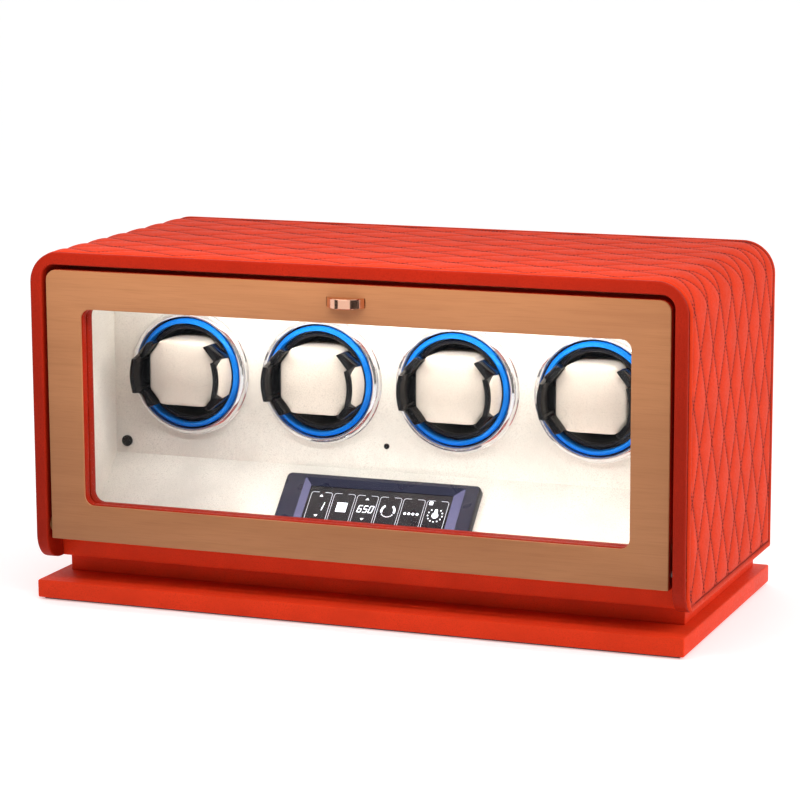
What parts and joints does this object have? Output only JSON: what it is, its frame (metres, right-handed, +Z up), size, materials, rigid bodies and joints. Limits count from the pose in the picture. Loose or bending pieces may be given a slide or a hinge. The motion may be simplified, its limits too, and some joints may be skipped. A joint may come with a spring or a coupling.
{
  "type": "watch winder box",
  "caption": "Leather-covered display cabinet that turns watches on belt-driven drums behind a drop-front glazed door, on a plinth.",
  "frame": {"origin": "centre of the underside, where the felt pad rests on the table", "axes": "+X to the right seen from the front, along the longest side; +Y from the door to the back; +Z up"},
  "size_m": [0.505, 0.2445, 0.2647],
  "materials": {
    "felt": "short black felt",
    "smooth_leather": "fine-grain orange-red leather, satin",
    "quilted_leather": "diamond-quilted orange-red leather with stitched seams",
    "board": "bare board",
    "cream_lining": "cream leatherette, fine grain",
    "cushion_leather": "soft cream leatherette",
    "slate_plastic": "slate blue-grey satin plastic",
    "display_glass": "black touch panel with lit symbols",
    "circuit_board": "green circuit board",
    "black_gloss": "black glossy plastic",
    "black_matte": "black satin plastic",
    "diffuser": "white diffuser",
    "grey_steel": "grey painted sheet steel",
    "bronze": "sintered bronze",
    "motor_steel": "plain steel",
    "bright_steel": "bright steel",
    "belt_rubber": "black rubber belt",
    "blue_ring": "bright blue anodised ring",
    "chrome_trim": "polished chrome",
    "back_board": "black painted board",
    "veneer": "fine straight-grain copper-tan veneer, satin",
    "clear_glass": "clear glass",
    "rose_gold": "polished rose-gold plate",
    "pulley_plastic": "natural nylon"
  },
  "bodies": {
    "cabinet": {"base_pad": "felt", "base_board": "smooth_leather", "riser": "smooth_leather", "hood_shell": "smooth_leather", "quilted_cover": "quilted_leather", "cabinet_floor": "board", "front_sill": "smooth_leather", "cabinet_sides": "board", "cabinet_top": "board", "wall_liners": "cream_lining", "ceiling_liner": "cream_lining", "fascia_panel": "cream_lining", "console_panel": "cream_lining", "console_bezel": "slate_plastic", "touch_display": "display_glass", "control_board": "circuit_board", "remote_receiver": "black_gloss", "indicator_led": "black_gloss", "led_strip": "diffuser", "drive_chassis": "grey_steel", "shaft_bushes": "bronze", "gear_motors": "motor_steel", "drive_belts": "belt_rubber", "light_rings": "blue_ring", "back_cover": "back_board", "back_screws": "bright_steel", "dc_jack": "black_matte", "hinge_bushes": "bronze", "door_magnets": "bright_steel", "rotor_bezel_1": "chrome_trim", "rotor_bezel_2": "chrome_trim", "rotor_bezel_3": "chrome_trim", "rotor_bezel_4": "chrome_trim"},
    "door": {"door_core": "smooth_leather", "door_panel": "veneer", "door_glass": "clear_glass", "glass_retainer": "smooth_leather", "door_knob": "rose_gold", "hinge_pins": "bright_steel", "strike_plates": "bright_steel"},
    "rotor_1": {"rotor_drum_1": "black_matte", "rotor_shaft_1": "motor_steel"},
    "holder_1": {"watch_holder_1": "black_gloss", "watch_cushion_1": "cushion_leather"},
    "motor_pulley_1": {"motor_pulley_1": "pulley_plastic"},
    "rotor_2": {"rotor_drum_2": "black_matte", "rotor_shaft_2": "motor_steel"},
    "holder_2": {"watch_holder_2": "black_gloss", "watch_cushion_2": "cushion_leather"},
    "motor_pulley_2": {"motor_pulley_2": "pulley_plastic"},
    "rotor_3": {"rotor_drum_3": "black_matte", "rotor_shaft_3": "motor_steel"},
    "holder_3": {"watch_holder_3": "black_gloss", "watch_cushion_3": "cushion_leather"},
    "motor_pulley_3": {"motor_pulley_3": "pulley_plastic"},
    "rotor_4": {"rotor_drum_4": "black_matte", "rotor_shaft_4": "motor_steel"},
    "holder_4": {"watch_holder_4": "black_gloss", "watch_cushion_4": "cushion_leather"},
    "motor_pulley_4": {"motor_pulley_4": "pulley_plastic"}
  },
  "joints": [
    {"name": "door_hinge", "type": "hinge", "parent": "cabinet", "child": "door", "pos_m": [0, -0.106, 0.0572], "axis": [1, 0, 0], "range_deg": [0, 90]},
    {"name": "rotor_1_spin", "type": "hinge", "parent": "cabinet", "child": "rotor_1", "pos_m": [-0.16035, 0.026, 0.164], "axis": [0, 1, 0], "continuous": true},
    {"name": "holder_1_slide", "type": "slide", "parent": "rotor_1", "child": "holder_1", "axis": [0, -1, 0], "range_m": [0, 0.034]},
    {"name": "motor_1_spin", "type": "hinge", "parent": "cabinet", "child": "motor_pulley_1", "pos_m": [-0.16035, 0.026, 0.106], "axis": [0, 1, 0], "continuous": true},
    {"name": "rotor_2_spin", "type": "hinge", "parent": "cabinet", "child": "rotor_2", "pos_m": [-0.05345, 0.026, 0.164], "axis": [0, 1, 0], "continuous": true},
    {"name": "holder_2_slide", "type": "slide", "parent": "rotor_2", "child": "holder_2", "axis": [0, -1, 0], "range_m": [0, 0.034]},
    {"name": "motor_2_spin", "type": "hinge", "parent": "cabinet", "child": "motor_pulley_2", "pos_m": [-0.05345, 0.026, 0.106], "axis": [0, 1, 0], "continuous": true},
    {"name": "rotor_3_spin", "type": "hinge", "parent": "cabinet", "child": "rotor_3", "pos_m": [0.05345, 0.026, 0.164], "axis": [0, 1, 0], "continuous": true},
    {"name": "holder_3_slide", "type": "slide", "parent": "rotor_3", "child": "holder_3", "axis": [0, -1, 0], "range_m": [0, 0.034]},
    {"name": "motor_3_spin", "type": "hinge", "parent": "cabinet", "child": "motor_pulley_3", "pos_m": [0.05345, 0.026, 0.106], "axis": [0, 1, 0], "continuous": true},
    {"name": "rotor_4_spin", "type": "hinge", "parent": "cabinet", "child": "rotor_4", "pos_m": [0.16035, 0.026, 0.164], "axis": [0, 1, 0], "continuous": true},
    {"name": "holder_4_slide", "type": "slide", "parent": "rotor_4", "child": "holder_4", "axis": [0, -1, 0], "range_m": [0, 0.034]},
    {"name": "motor_4_spin", "type": "hinge", "parent": "cabinet", "child": "motor_pulley_4", "pos_m": [0.16035, 0.026, 0.106], "axis": [0, 1, 0], "continuous": true}
  ],
  "couplings": [
    {"joint": "motor_1_spin", "follows": "rotor_1_spin", "ratio": 4},
    {"joint": "motor_2_spin", "follows": "rotor_2_spin", "ratio": 4},
    {"joint": "motor_3_spin", "follows": "rotor_3_spin", "ratio": 4},
    {"joint": "motor_4_spin", "follows": "rotor_4_spin", "ratio": 4}
  ]
}
